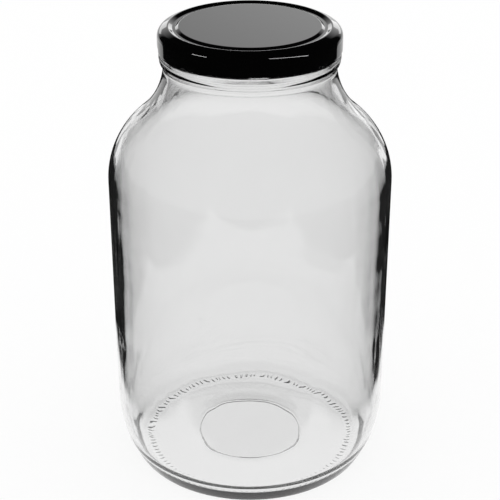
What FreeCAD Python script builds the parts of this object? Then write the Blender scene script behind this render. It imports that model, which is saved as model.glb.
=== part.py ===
import FreeCAD, Part
import math
import os
import Sketcher

# A wide-mouth glass jar that holds about 4.2 litres, with its twist-off lid.
# Z is the axis of both pieces. Z = 0 is the bearing ring that the jar stands on.
# All sizes are in millimetres, and the two phase and arc sizes in degrees.

SIZES = (
    # the jar's overall sizes
    ("rim_height", 269.1),            # sealing rim above the bearing ring
    ("body_radius", 82.0),            # outside of the straight wall
    ("neck_radius", 48.4),            # outside of the waist under the bead
    ("glass_wall", 4.2),              # wall of body, shoulder and neck
    # heel and base
    ("heel_inset", 13.5),             # wall to outer edge of the bearing ring
    ("heel_corner_radius", 5.1),      # small arc next to the bearing ring
    ("heel_radius", 70.6),            # long arc that runs up into the wall
    ("bearing_width", 8.0),           # flat ring that the jar stands on
    ("punt_height", 3.8),             # underside of the base at its centre
    ("plate_radius", 31.4),           # round seam left by the mould's bottom plate
    ("plate_step", 0.5),              # height of that seam
    ("floor_height", 7.2),            # lowest point of the inside floor
    ("floor_rise", 2.0),              # how much the floor rises to its centre
    ("floor_corner_radius", 14.0),    # inside corner from floor to wall
    # shoulder and neck
    ("shoulder_radius", 47.7),        # outward arc of the shoulder
    ("neck_flare_radius", 45.1),      # inward arc from shoulder to neck
    ("neck_drop", 17.1),              # rim to the centre level of that arc
    # bead and finish
    ("bead_depth", 2.45),             # bead beyond the waist
    ("bead_face", 3.6),               # upright face of the bead
    ("bead_gap", 0.35),               # top of the bead to the lid's curl
    ("bead_underside_radius", 6.0),
    ("bead_root_radius", 6.0),
    ("finish_inset", 1.0),            # waist to the upright wall of the finish
    ("rim_outer_radius", 0.8),
    ("rim_inner_radius", 0.9),
    ("thread_radius", 1.3),           # half-round section of a thread
    ("thread_arc", 31.0),             # how far round one thread runs, degrees
    # what jar and lid share
    ("lug_count", 8),
    ("lug_phase", 5.2),               # direction of the first lug, degrees
    ("curl_clearance", 0.45),         # thread crest to the curl, sideways
    ("lug_clearance", 0.4),           # underside of the thread to the lug
    # lid
    ("sheet", 0.3),                   # tinplate
    ("panel_inset", 12.05),           # outside of the skirt to the flat middle panel
    ("panel_rise", 1.65),             # rim to the top of the panel
    ("groove_depth", 1.15),           # ring groove round the panel
    ("groove_slope", 1.8),            # width of the slope into the groove
    ("groove_floor", 1.6),            # width of the groove's floor
    ("crest_rise", 1.9),              # rim to the top of the crest ring
    ("crest_radius", 1.3),
    ("crest_offset", 6.1),            # skirt to the middle of the crest
    ("lid_shoulder_radius", 5.0),     # round edge from top to skirt
    ("lid_shoulder_drop", 3.9),       # rim to the centre of that edge
    ("lid_drop", 11.95),              # rim to the lowest point of the curl
    ("curl_radius", 1.2),
    ("curl_height", 2.45),
    ("lug_arc", 14.0),                # how far round one lug runs, degrees
    ("lug_reach", 1.25),              # lug inside the curl
    ("lug_height", 1.0),
    ("lug_lift", 0.35),               # lug above the lowest point of the curl
)

# Sizes that follow from those above.
DERIVED = (
    ("skirt_inside", "=neck_radius - finish_inset + thread_radius + curl_clearance"
                     " + 2 * curl_radius - sheet"),
    ("panel_radius", "=skirt_inside + sheet - panel_inset"),
    ("bead_drop", "=lid_drop + bead_gap"),
    ("thread_drop", "=lid_drop - lug_lift - lug_height - lug_clearance - thread_radius"),
)

START, END, CENTRE = 1, 2, 3          # the points of a sketch edge
ORIGIN, X_AXIS, Z_AXIS = -1, -1, -2   # the sketch's own origin and axes


def make_sheet(doc):
    sheet = doc.addObject("Spreadsheet::Sheet", "sizes")
    for row, (alias, value) in enumerate(SIZES + DERIVED, start=1):
        sheet.set(f"A{row}", alias)
        sheet.set(f"B{row}", str(value))
        sheet.setAlias(f"B{row}", alias)
    doc.recompute()
    return sheet


def point(x, z):
    return FreeCAD.Vector(x, z, 0)


def heading(start, end):
    """Direction from one point to another, in radians."""
    return math.atan2(end.y - start.y, end.x - start.x)


def polar(centre, radius, angle):
    return point(centre.x + radius * math.cos(angle), centre.y + radius * math.sin(angle))


class Outline:
    """A sketch in the X-Z half plane of one body; its sizes follow the sheet."""

    def __init__(self, body, name):
        self.body = body
        self.sketch = body.newObject("Sketcher::SketchObject", name)
        plane = [item for item in body.Origin.OriginFeatures if item.Role == "XZ_Plane"][0]
        self.sketch.AttachmentSupport = [(plane, "")]
        self.sketch.MapMode = "FlatFace"

    def turn(self, expression):
        """Turn the sketch about the Z axis."""
        self.sketch.AttachmentOffset = FreeCAD.Placement(
            FreeCAD.Vector(), FreeCAD.Rotation(FreeCAD.Vector(0, 1, 0), 1.0))
        self.sketch.setExpression("AttachmentOffset.Rotation.Angle", expression)

    def line(self, start, end):
        return self.sketch.addGeometry(Part.LineSegment(start, end), False)

    def arc(self, centre, radius, first, last):
        circle = Part.Circle(centre, FreeCAD.Vector(0, 0, 1), radius)
        return self.sketch.addGeometry(Part.ArcOfCircle(circle, first, last), False)

    def rule(self, *terms):
        return self.sketch.addConstraint(Sketcher.Constraint(*terms))

    def join(self, first, first_end, second, second_end):
        self.rule("Coincident", first, first_end, second, second_end)

    def blend(self, first, first_end, second, second_end):
        self.rule("Tangent", first, first_end, second, second_end)

    def level(self, *lines):
        for line in lines:
            self.rule("Horizontal", line)

    def upright(self, *lines):
        for line in lines:
            self.rule("Vertical", line)

    def on_axis(self, edge, end):
        self.rule("PointOnObject", edge, end, Z_AXIS)

    def bind(self, index, name, expression):
        self.sketch.renameConstraint(index, name)
        self.sketch.setExpression(f"Constraints.{name}", expression)

    def radius(self, name, edge, expression, value):
        self.bind(self.rule("Radius", edge, value), name, expression)

    def reach(self, name, edge, end, expression, value):
        """Distance of a point from the Z axis."""
        self.bind(self.rule("DistanceX", ORIGIN, START, edge, end, value), name, expression)

    def height(self, name, edge, end, expression, value):
        """Height of a point above the bearing ring."""
        self.bind(self.rule("DistanceY", ORIGIN, START, edge, end, value), name, expression)

    def rise(self, name, lower, lower_end, upper, upper_end, expression, value):
        """Height of one point above another."""
        index = self.rule("DistanceY", lower, lower_end, upper, upper_end, value)
        self.bind(index, name, expression)

    def across(self, name, inner, inner_end, outer, outer_end, expression, value):
        """Distance of one point outside another."""
        index = self.rule("DistanceX", inner, inner_end, outer, outer_end, value)
        self.bind(index, name, expression)

    def settle(self):
        self.body.Document.recompute()
        if self.sketch.solve() != 0:
            raise RuntimeError(f"{self.sketch.Name} can't be solved")
        if not self.sketch.FullyConstrained:
            raise RuntimeError(f"{self.sketch.Name} has free sizes")


def revolve(outline, name, angle_expression=None):
    """Turn an outline about the Z axis, all the way or over a centred arc."""
    feature = outline.body.newObject("PartDesign::Revolution", name)
    feature.Profile = outline.sketch
    feature.ReferenceAxis = (outline.sketch, ["V_Axis"])
    feature.Angle = 360.0
    if angle_expression:
        feature.Midplane = True
        feature.setExpression("Angle", angle_expression)
    outline.sketch.Visibility = False
    outline.body.Document.recompute()
    return feature


def repeat_round(body, feature, name):
    """Repeat a feature evenly round the Z axis, once for each lug."""
    pattern = body.newObject("PartDesign::PolarPattern", name)
    pattern.Originals = [feature]
    axis = [item for item in body.Origin.OriginFeatures if item.Role == "Z_Axis"][0]
    pattern.Axis = (axis, [""])
    pattern.Angle = 360.0
    pattern.setExpression("Occurrences", "sizes.lug_count")
    body.Tip = pattern
    body.Document.recompute()
    return pattern


def circle_meeting(first, first_radius, second, second_radius, side):
    """Where two circles cross; side is +1 or -1 for the left or right crossing."""
    span = math.hypot(second.x - first.x, second.y - first.y)
    along = (first_radius ** 2 - second_radius ** 2 + span ** 2) / (2 * span)
    off = side * math.sqrt(first_radius ** 2 - along ** 2)
    angle = heading(first, second)
    foot = polar(first, along, angle)
    return polar(foot, off, angle + math.pi / 2)


def jar_centres(sheet):
    """Centres of the arcs that the outside and the inside of the jar share."""
    heel_corner = point(sheet.body_radius - sheet.heel_inset, sheet.heel_corner_radius)
    heel_x = sheet.body_radius - sheet.heel_radius
    reach = sheet.heel_radius - sheet.heel_corner_radius
    heel_z = heel_corner.y + math.sqrt(reach ** 2 - (heel_corner.x - heel_x) ** 2)
    flare = point(sheet.neck_radius + sheet.neck_flare_radius,
                  sheet.rim_height - sheet.neck_drop)
    shoulder_x = sheet.body_radius - sheet.shoulder_radius
    reach = sheet.shoulder_radius + sheet.neck_flare_radius
    shoulder_z = flare.y - math.sqrt(reach ** 2 - (flare.x - shoulder_x) ** 2)
    return heel_corner, point(heel_x, heel_z), point(shoulder_x, shoulder_z), flare


def draw_outside(make, sheet):
    """Underside, heel, wall, shoulder, neck, bead and finish, up to the rim."""
    heel_corner, heel, shoulder, flare = jar_centres(sheet)
    bead_x = sheet.neck_radius + sheet.bead_depth
    bead_top = sheet.rim_height - sheet.bead_drop
    bead_foot = bead_top - sheet.bead_face
    bead = point(bead_x - sheet.bead_underside_radius, bead_foot)
    root = circle_meeting(bead, sheet.bead_underside_radius + sheet.bead_root_radius,
                          flare, sheet.neck_flare_radius - sheet.bead_root_radius, -1)
    finish_x = sheet.neck_radius - sheet.finish_inset
    rim_corner = point(finish_x - sheet.rim_outer_radius,
                       sheet.rim_height - sheet.rim_outer_radius)
    plate_foot = sheet.punt_height - sheet.plate_step
    ring_in = heel_corner.x - sheet.bearing_width
    heel_turn = heading(heel, heel_corner)
    shoulder_turn = heading(shoulder, flare)

    plate = make.line(point(0, sheet.punt_height), point(sheet.plate_radius, sheet.punt_height))
    step = make.line(point(sheet.plate_radius, sheet.punt_height),
                     point(sheet.plate_radius, plate_foot))
    dish = make.line(point(sheet.plate_radius, plate_foot), point(ring_in, 0))
    ring = make.line(point(ring_in, 0), point(heel_corner.x, 0))
    corner_arc = make.arc(heel_corner, sheet.heel_corner_radius, -math.pi / 2, heel_turn)
    heel_arc = make.arc(heel, sheet.heel_radius, heel_turn, 0)
    wall = make.line(point(sheet.body_radius, heel.y), point(sheet.body_radius, shoulder.y))
    shoulder_arc = make.arc(shoulder, sheet.shoulder_radius, 0, shoulder_turn)
    flare_arc = make.arc(flare, sheet.neck_flare_radius,
                         heading(flare, root), shoulder_turn + math.pi)
    root_arc = make.arc(root, sheet.bead_root_radius, heading(root, bead), heading(flare, root))
    bead_arc = make.arc(bead, sheet.bead_underside_radius, heading(bead, root), 0)
    bead_face = make.line(point(bead_x, bead_foot), point(bead_x, bead_top))
    bead_ledge = make.line(point(bead_x, bead_top), point(finish_x, bead_top))
    finish = make.line(point(finish_x, bead_top), point(finish_x, rim_corner.y))
    rim_arc = make.arc(rim_corner, sheet.rim_outer_radius, 0, math.pi / 2)

    make.join(plate, END, step, START)
    make.join(step, END, dish, START)
    make.join(dish, END, ring, START)
    make.blend(ring, END, corner_arc, START)
    make.blend(corner_arc, END, heel_arc, START)
    make.blend(heel_arc, END, wall, START)
    make.blend(wall, END, shoulder_arc, START)
    make.blend(shoulder_arc, END, flare_arc, END)
    make.blend(flare_arc, START, root_arc, END)
    make.blend(root_arc, START, bead_arc, START)
    make.blend(bead_arc, END, bead_face, START)
    make.join(bead_face, END, bead_ledge, START)
    make.join(bead_ledge, END, finish, START)
    make.blend(finish, END, rim_arc, START)
    make.on_axis(plate, START)
    make.level(plate, ring, bead_ledge)
    make.upright(step, wall, bead_face, finish)
    make.rule("PointOnObject", ring, START, X_AXIS)

    make.height("punt_height", plate, START, "sizes.punt_height", sheet.punt_height)
    make.reach("plate_radius", plate, END, "sizes.plate_radius", sheet.plate_radius)
    make.rise("plate_step", step, END, step, START, "sizes.plate_step", sheet.plate_step)
    make.reach("bearing_edge", ring, END, "sizes.body_radius - sizes.heel_inset", heel_corner.x)
    make.across("bearing_width", ring, START, ring, END, "sizes.bearing_width",
                sheet.bearing_width)
    make.radius("heel_corner_radius", corner_arc, "sizes.heel_corner_radius",
                sheet.heel_corner_radius)
    make.radius("heel_radius", heel_arc, "sizes.heel_radius", sheet.heel_radius)
    make.reach("body_radius", wall, START, "sizes.body_radius", sheet.body_radius)
    make.radius("shoulder_radius", shoulder_arc, "sizes.shoulder_radius", sheet.shoulder_radius)
    make.radius("flare_radius", flare_arc, "sizes.neck_flare_radius", sheet.neck_flare_radius)
    make.reach("flare_centre", flare_arc, CENTRE,
               "sizes.neck_radius + sizes.neck_flare_radius", flare.x)
    make.height("flare_level", flare_arc, CENTRE, "sizes.rim_height - sizes.neck_drop", flare.y)
    make.radius("bead_root_radius", root_arc, "sizes.bead_root_radius", sheet.bead_root_radius)
    make.radius("bead_underside_radius", bead_arc, "sizes.bead_underside_radius",
                sheet.bead_underside_radius)
    make.reach("bead_radius", bead_face, START, "sizes.neck_radius + sizes.bead_depth", bead_x)
    make.rise("bead_face", bead_face, START, bead_face, END, "sizes.bead_face", sheet.bead_face)
    make.height("bead_top", bead_face, END, "sizes.rim_height - sizes.bead_drop", bead_top)
    make.reach("finish_radius", finish, START, "sizes.neck_radius - sizes.finish_inset",
               finish_x)
    make.radius("rim_outer_radius", rim_arc, "sizes.rim_outer_radius", sheet.rim_outer_radius)
    return plate, rim_arc, heel_arc, shoulder_arc, flare_arc


def draw_inside(make, sheet):
    """Bore, neck, shoulder, wall and floor, one glass wall inside the outside."""
    heel, shoulder, flare = jar_centres(sheet)[1:]
    wall_gap = sheet.glass_wall
    bore_x = sheet.neck_radius - wall_gap
    inner_x = sheet.body_radius - wall_gap
    rim_corner = point(bore_x + sheet.rim_inner_radius,
                       sheet.rim_height - sheet.rim_inner_radius)
    corner_z = sheet.floor_height + sheet.floor_corner_radius
    reach = sheet.heel_radius - wall_gap - sheet.floor_corner_radius
    corner = point(heel.x + math.sqrt(reach ** 2 - (corner_z - heel.y) ** 2), corner_z)
    peak = point(0, sheet.floor_height + sheet.floor_rise)
    span = math.hypot(corner.x - peak.x, corner.y - peak.y)
    floor_turn = heading(peak, corner) - math.asin(sheet.floor_corner_radius / span)
    shoulder_turn = heading(shoulder, flare)
    heel_turn = heading(heel, corner)

    rim_arc = make.arc(rim_corner, sheet.rim_inner_radius, math.pi / 2, math.pi)
    bore = make.line(point(bore_x, rim_corner.y), point(bore_x, flare.y))
    flare_arc = make.arc(flare, sheet.neck_flare_radius + wall_gap,
                         math.pi, shoulder_turn + math.pi)
    shoulder_arc = make.arc(shoulder, sheet.shoulder_radius - wall_gap, 0, shoulder_turn)
    wall = make.line(point(inner_x, shoulder.y), point(inner_x, heel.y))
    heel_arc = make.arc(heel, sheet.heel_radius - wall_gap, heel_turn, 0)
    corner_arc = make.arc(corner, sheet.floor_corner_radius,
                          floor_turn - math.pi / 2, heel_turn)
    floor = make.line(polar(corner, sheet.floor_corner_radius, floor_turn - math.pi / 2), peak)

    make.blend(rim_arc, END, bore, START)
    make.blend(bore, END, flare_arc, START)
    make.blend(flare_arc, END, shoulder_arc, END)
    make.blend(shoulder_arc, START, wall, START)
    make.blend(wall, END, heel_arc, END)
    make.blend(heel_arc, START, corner_arc, END)
    make.blend(corner_arc, START, floor, START)
    make.on_axis(floor, END)
    make.upright(bore, wall)

    make.radius("rim_inner_radius", rim_arc, "sizes.rim_inner_radius", sheet.rim_inner_radius)
    make.reach("bore_radius", bore, START, "sizes.neck_radius - sizes.glass_wall", bore_x)
    make.radius("corner_radius", corner_arc, "sizes.floor_corner_radius",
                sheet.floor_corner_radius)
    make.height("corner_level", corner_arc, CENTRE,
                "sizes.floor_height + sizes.floor_corner_radius", corner_z)
    make.height("floor_peak", floor, END, "sizes.floor_height + sizes.floor_rise", peak.y)
    return floor, rim_arc, heel_arc, shoulder_arc, flare_arc


def jar_section(body, sheet):
    """The whole section of the glass, outside and inside, closed at the rim and the axis."""
    make = Outline(body, "jar_section")
    plate, rim_out, *outer_arcs = draw_outside(make, sheet)
    floor, rim_in, *inner_arcs = draw_inside(make, sheet)
    rim_z = sheet.rim_height
    finish_x = sheet.neck_radius - sheet.finish_inset
    bore_x = sheet.neck_radius - sheet.glass_wall
    rim = make.line(point(finish_x - sheet.rim_outer_radius, rim_z),
                    point(bore_x + sheet.rim_inner_radius, rim_z))
    axis = make.line(point(0, sheet.floor_height + sheet.floor_rise),
                     point(0, sheet.punt_height))
    make.blend(rim_out, END, rim, START)
    make.blend(rim, END, rim_in, START)
    make.join(floor, END, axis, START)
    make.join(axis, END, plate, START)
    make.level(rim)
    make.height("rim_height", rim, START, "sizes.rim_height", rim_z)
    for outer, inner in zip(outer_arcs, inner_arcs):
        make.join(outer, CENTRE, inner, CENTRE)
    make.settle()
    return make


def thread_section(body, sheet):
    """Half-round section of a thread, let a little into the finish."""
    finish_x = sheet.neck_radius - sheet.finish_inset
    middle = point(finish_x, sheet.rim_height - sheet.thread_drop)

    make = Outline(body, "thread_section")
    crest = make.arc(middle, sheet.thread_radius, -math.pi / 2, math.pi / 2)
    top = polar(middle, sheet.thread_radius, math.pi / 2)
    foot = polar(middle, sheet.thread_radius, -math.pi / 2)
    depth = sheet.glass_wall - sheet.finish_inset - sheet.rim_outer_radius
    top_in = make.line(top, point(finish_x - depth, top.y))
    back = make.line(point(finish_x - depth, top.y), point(finish_x - depth, foot.y))
    foot_out = make.line(point(finish_x - depth, foot.y), foot)
    make.blend(crest, END, top_in, START)
    make.join(top_in, END, back, START)
    make.join(back, END, foot_out, START)
    make.blend(foot_out, END, crest, START)
    make.level(top_in, foot_out)
    make.radius("thread_radius", crest, "sizes.thread_radius", sheet.thread_radius)
    make.reach("finish_radius", crest, CENTRE, "sizes.neck_radius - sizes.finish_inset", finish_x)
    make.height("thread_level", crest, CENTRE, "sizes.rim_height - sizes.thread_drop", middle.y)
    make.upright(back)
    make.across("thread_root", back, START, crest, CENTRE,
                "sizes.glass_wall - sizes.finish_inset - sizes.rim_outer_radius", depth)
    make.turn("sizes.lug_phase")
    make.settle()
    return make


def lid_shell(body, sheet):
    """Panel, ring groove, crest, round edge, skirt and curl, and the sealing face."""
    inner_x = sheet.skirt_inside
    outer_x = inner_x + sheet.sheet
    rim_z = sheet.rim_height
    panel_z = rim_z + sheet.panel_rise
    groove_z = panel_z - sheet.groove_depth
    groove_x = sheet.panel_radius + sheet.groove_slope
    rise_x = groove_x + sheet.groove_floor
    crest = point(outer_x - sheet.crest_offset, rim_z + sheet.crest_rise - sheet.crest_radius)
    edge = point(outer_x - sheet.lid_shoulder_radius, rim_z - sheet.lid_shoulder_drop)
    drop = heading(crest, edge)
    span = math.hypot(edge.x - crest.x, edge.y - crest.y)
    slope_turn = drop + math.acos((sheet.crest_radius - sheet.lid_shoulder_radius) / span)
    rise_foot = point(rise_x, groove_z)
    span = math.hypot(crest.x - rise_x, crest.y - groove_z)
    rise_turn = heading(rise_foot, crest) + math.asin(sheet.crest_radius / span) + math.pi / 2
    curl = point(outer_x - sheet.curl_radius, rim_z - sheet.lid_drop + sheet.curl_radius)
    curl_x = curl.x - sheet.curl_radius
    curl_z = rim_z - sheet.lid_drop + sheet.curl_height
    inner_edge = sheet.lid_shoulder_radius - sheet.sheet
    seal_turn = math.asin(sheet.lid_shoulder_drop / inner_edge)
    seal_out = polar(edge, inner_edge, seal_turn)
    seal_in = groove_x - 2 * sheet.sheet

    make = Outline(body, "lid_shell")
    axis = make.line(point(0, panel_z - sheet.sheet), point(0, panel_z))
    panel = make.line(point(0, panel_z), point(sheet.panel_radius, panel_z))
    slope = make.line(point(sheet.panel_radius, panel_z), point(groove_x, groove_z))
    groove = make.line(point(groove_x, groove_z), rise_foot)
    rise = make.line(rise_foot, polar(crest, sheet.crest_radius, rise_turn))
    crest_arc = make.arc(crest, sheet.crest_radius, slope_turn, rise_turn)
    fall = make.line(polar(crest, sheet.crest_radius, slope_turn),
                     polar(edge, sheet.lid_shoulder_radius, slope_turn))
    edge_arc = make.arc(edge, sheet.lid_shoulder_radius, 0, slope_turn)
    skirt = make.line(point(outer_x, edge.y), point(outer_x, curl.y))
    curl_arc = make.arc(curl, sheet.curl_radius, -math.pi, 0)
    curl_side = make.line(point(curl_x, curl.y), point(curl_x, curl_z))
    curl_top = make.line(point(curl_x, curl_z), point(inner_x, curl_z))
    inside = make.line(point(inner_x, curl_z), point(inner_x, edge.y))
    inside_arc = make.arc(edge, inner_edge, 0, seal_turn)
    seal = make.line(seal_out, point(seal_in, rim_z))
    seal_slope = make.line(point(seal_in, rim_z),
                           point(sheet.panel_radius - sheet.sheet, panel_z - sheet.sheet))
    ceiling = make.line(point(sheet.panel_radius - sheet.sheet, panel_z - sheet.sheet),
                        point(0, panel_z - sheet.sheet))

    make.join(axis, END, panel, START)
    make.join(panel, END, slope, START)
    make.join(slope, END, groove, START)
    make.join(groove, END, rise, START)
    make.blend(rise, END, crest_arc, END)
    make.blend(crest_arc, START, fall, START)
    make.blend(fall, END, edge_arc, END)
    make.blend(edge_arc, START, skirt, START)
    make.blend(skirt, END, curl_arc, END)
    make.blend(curl_arc, START, curl_side, START)
    make.join(curl_side, END, curl_top, START)
    make.join(curl_top, END, inside, START)
    make.blend(inside, END, inside_arc, START)
    make.join(inside_arc, END, seal, START)
    make.join(seal, END, seal_slope, START)
    make.join(seal_slope, END, ceiling, START)
    make.join(ceiling, END, axis, START)
    make.on_axis(axis, START)
    make.on_axis(axis, END)
    make.level(panel, groove, curl_top, seal, ceiling)
    make.upright(skirt, curl_side, inside)
    make.rule("Coincident", inside_arc, CENTRE, edge_arc, CENTRE)

    make.height("panel_top", panel, START, "sizes.rim_height + sizes.panel_rise", panel_z)
    make.rise("panel_sheet", axis, START, axis, END, "sizes.sheet", sheet.sheet)
    make.reach("panel_radius", panel, END, "sizes.panel_radius", sheet.panel_radius)
    make.across("groove_slope", slope, START, slope, END, "sizes.groove_slope",
                sheet.groove_slope)
    make.rise("groove_depth", slope, END, slope, START, "sizes.groove_depth",
              sheet.groove_depth)
    make.across("groove_floor", groove, START, groove, END, "sizes.groove_floor",
                sheet.groove_floor)
    make.radius("crest_radius", crest_arc, "sizes.crest_radius", sheet.crest_radius)
    make.reach("crest_centre", crest_arc, CENTRE,
               "sizes.skirt_inside + sizes.sheet - sizes.crest_offset", crest.x)
    make.height("crest_level", crest_arc, CENTRE,
                "sizes.rim_height + sizes.crest_rise - sizes.crest_radius", crest.y)
    make.radius("edge_radius", edge_arc, "sizes.lid_shoulder_radius",
                sheet.lid_shoulder_radius)
    make.height("edge_level", edge_arc, CENTRE,
                "sizes.rim_height - sizes.lid_shoulder_drop", edge.y)
    make.reach("skirt_outside", skirt, START, "sizes.skirt_inside + sizes.sheet", outer_x)
    make.radius("curl_radius", curl_arc, "sizes.curl_radius", sheet.curl_radius)
    make.height("curl_level", curl_arc, CENTRE,
                "sizes.rim_height - sizes.lid_drop + sizes.curl_radius", curl.y)
    make.height("curl_top", curl_side, END,
                "sizes.rim_height - sizes.lid_drop + sizes.curl_height", curl_z)
    make.reach("skirt_inside", inside, START, "sizes.skirt_inside", inner_x)
    make.height("sealing_face", seal, END, "sizes.rim_height", rim_z)
    make.reach("sealing_edge", seal, END,
               "sizes.panel_radius + sizes.groove_slope - 2 * sizes.sheet", seal_in)
    make.reach("ceiling_edge", ceiling, START, "sizes.panel_radius - sizes.sheet",
               sheet.panel_radius - sheet.sheet)
    make.settle()
    return make


def lug_section(body, sheet):
    """Section of a lug, pressed inwards from the curl and rooted in it."""
    curl_x = sheet.skirt_inside + sheet.sheet - 2 * sheet.curl_radius
    low = sheet.rim_height - sheet.lid_drop + sheet.lug_lift
    high = low + sheet.lug_height
    tip_x = curl_x - sheet.lug_reach
    root_x = curl_x + sheet.curl_radius

    make = Outline(body, "lug_section")
    tip = make.line(point(tip_x, low), point(tip_x, high))
    top = make.line(point(tip_x, high), point(root_x, high))
    root = make.line(point(root_x, high), point(root_x, low))
    foot = make.line(point(root_x, low), point(tip_x, low))
    make.join(tip, END, top, START)
    make.join(top, END, root, START)
    make.join(root, END, foot, START)
    make.join(foot, END, tip, START)
    make.upright(tip, root)
    make.level(top, foot)
    make.height("lug_low", tip, START,
                "sizes.rim_height - sizes.lid_drop + sizes.lug_lift", low)
    make.rise("lug_height", tip, START, tip, END, "sizes.lug_height", sheet.lug_height)
    make.reach("lug_tip", tip, START,
               "sizes.skirt_inside + sizes.sheet - 2 * sizes.curl_radius - sizes.lug_reach",
               tip_x)
    make.reach("lug_root", root, START,
               "sizes.skirt_inside + sizes.sheet - sizes.curl_radius", root_x)
    make.turn("sizes.lug_phase")
    make.settle()
    return make


def build_jar(doc, sheet):
    body = doc.addObject("PartDesign::Body", "glass_jar")
    revolve(jar_section(body, sheet), "vessel")
    thread = revolve(thread_section(body, sheet), "thread", "sizes.thread_arc")
    repeat_round(body, thread, "threads")
    body.Label = "glass_jar"
    body.Placement = FreeCAD.Placement()
    return body


def build_lid(doc, sheet):
    body = doc.addObject("PartDesign::Body", "lid")
    revolve(lid_shell(body, sheet), "shell")
    lug = revolve(lug_section(body, sheet), "lug", "sizes.lug_arc")
    repeat_round(body, lug, "lugs")
    body.Label = "lid"
    body.Placement = FreeCAD.Placement()
    return body


def check(doc, bodies):
    """Stop before anything is written if an object failed."""
    for item in doc.Objects:
        if "Invalid" in item.State or "Error" in item.State:
            raise RuntimeError(f"{item.Name} failed: {item.State}")
    for body in bodies:
        shape = body.Shape
        if shape.isNull() or not shape.isValid() or len(shape.Solids) != 1:
            raise RuntimeError(f"{body.Label} isn't one sound solid")


def main():
    doc = FreeCAD.newDocument("twist_off_jar")
    sheet = make_sheet(doc)
    bodies = [build_jar(doc, sheet), build_lid(doc, sheet)]
    doc.recompute()
    check(doc, bodies)
    os.makedirs("parts", exist_ok=True)
    for body in bodies:
        body.Shape.exportStep(os.path.join("parts", f"{body.Label}.step"))
        box = body.Shape.optimalBoundingBox()
        print(f"{body.Label}: volume {body.Shape.Volume / 1000:.1f} cm3, "
              f"x {box.XMin:.2f} to {box.XMax:.2f}, z {box.ZMin:.2f} to {box.ZMax:.2f}")


main()
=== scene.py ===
import math
import bpy
import numpy as np
from mathutils import Matrix, Vector


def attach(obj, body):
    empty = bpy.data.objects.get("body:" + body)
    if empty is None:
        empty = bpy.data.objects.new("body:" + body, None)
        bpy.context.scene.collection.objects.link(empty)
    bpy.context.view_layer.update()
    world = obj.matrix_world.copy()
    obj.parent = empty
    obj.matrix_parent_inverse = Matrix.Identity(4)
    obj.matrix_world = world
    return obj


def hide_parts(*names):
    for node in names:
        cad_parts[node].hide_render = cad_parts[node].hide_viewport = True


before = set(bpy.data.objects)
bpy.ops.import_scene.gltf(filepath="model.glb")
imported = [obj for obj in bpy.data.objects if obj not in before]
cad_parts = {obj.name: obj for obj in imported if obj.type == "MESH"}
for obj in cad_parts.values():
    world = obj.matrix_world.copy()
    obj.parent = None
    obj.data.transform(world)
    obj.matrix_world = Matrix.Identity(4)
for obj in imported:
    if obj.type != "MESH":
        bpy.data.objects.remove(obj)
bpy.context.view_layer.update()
print("frame loaded")


def linearColour(hexText):  # sRGB hex to the linear values that shaders take
    parts = [int(hexText[i:i + 2], 16) / 255 for i in (1, 3, 5)]
    return [p / 12.92 if p <= 0.04045 else ((p + 0.055) / 1.055) ** 2.4 for p in parts] + [1.0]


def addNode(tree, kind, inputs=None, **settings):  # a value, a socket or a node for each input
    node = tree.nodes.new(kind)
    for name, value in settings.items():
        setattr(node, name, value)
    for name, value in (inputs or {}).items():
        if isinstance(value, bpy.types.Node):
            value = value.outputs[0]
        if isinstance(value, bpy.types.NodeSocket):
            tree.links.new(value, node.inputs[name])
        else:
            node.inputs[name].default_value = value
    return node


def newMaterial(name):
    material = bpy.data.materials.new(name)
    material.use_nodes = True
    material.node_tree.nodes.clear()
    return material, material.node_tree


# outlines are in millimetres, as (radius, height) rows that run with the glass or metal on their left

def lineRows(start, end, steps):
    return [(start[0] + (end[0] - start[0]) * i / steps, start[1] + (end[1] - start[1]) * i / steps)
            for i in range(steps + 1)]


def arcRows(centre, radius, first, last, steps):  # angles in radians
    return [(centre[0] + radius * math.cos(first + (last - first) * i / steps),
             centre[1] + radius * math.sin(first + (last - first) * i / steps)) for i in range(steps + 1)]


def cornerRows(before, corner, after, radius, steps):  # a rounded corner between two straight runs
    a = np.subtract(before, corner) / math.dist(before, corner)
    b = np.subtract(after, corner) / math.dist(after, corner)
    half = math.acos(max(-1.0, min(1.0, float(a @ b)))) / 2
    middle = (a + b) / np.linalg.norm(a + b)
    centre = np.array(corner) + middle * radius / math.sin(half)
    first = math.atan2(*(np.array(corner) + a * radius / math.tan(half) - centre)[::-1])
    last = math.atan2(*(np.array(corner) + b * radius / math.tan(half) - centre)[::-1])
    turn = (last - first + math.pi) % (2 * math.pi) - math.pi
    return arcRows(centre, radius, first, first + turn, steps)


def turnTo(start, end):
    return math.atan2(end[1] - start[1], end[0] - start[0])


def pointAt(centre, radius, angle):
    return (centre[0] + radius * math.cos(angle), centre[1] + radius * math.sin(angle))


def joinRows(*parts):  # one outline, without doubled points
    rows = []
    for part in parts:
        for row in part:
            if not rows or math.dist(rows[-1][:2], row[:2]) > 0.004:
                rows.append(tuple(float(v) for v in row))
    return rows


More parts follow.
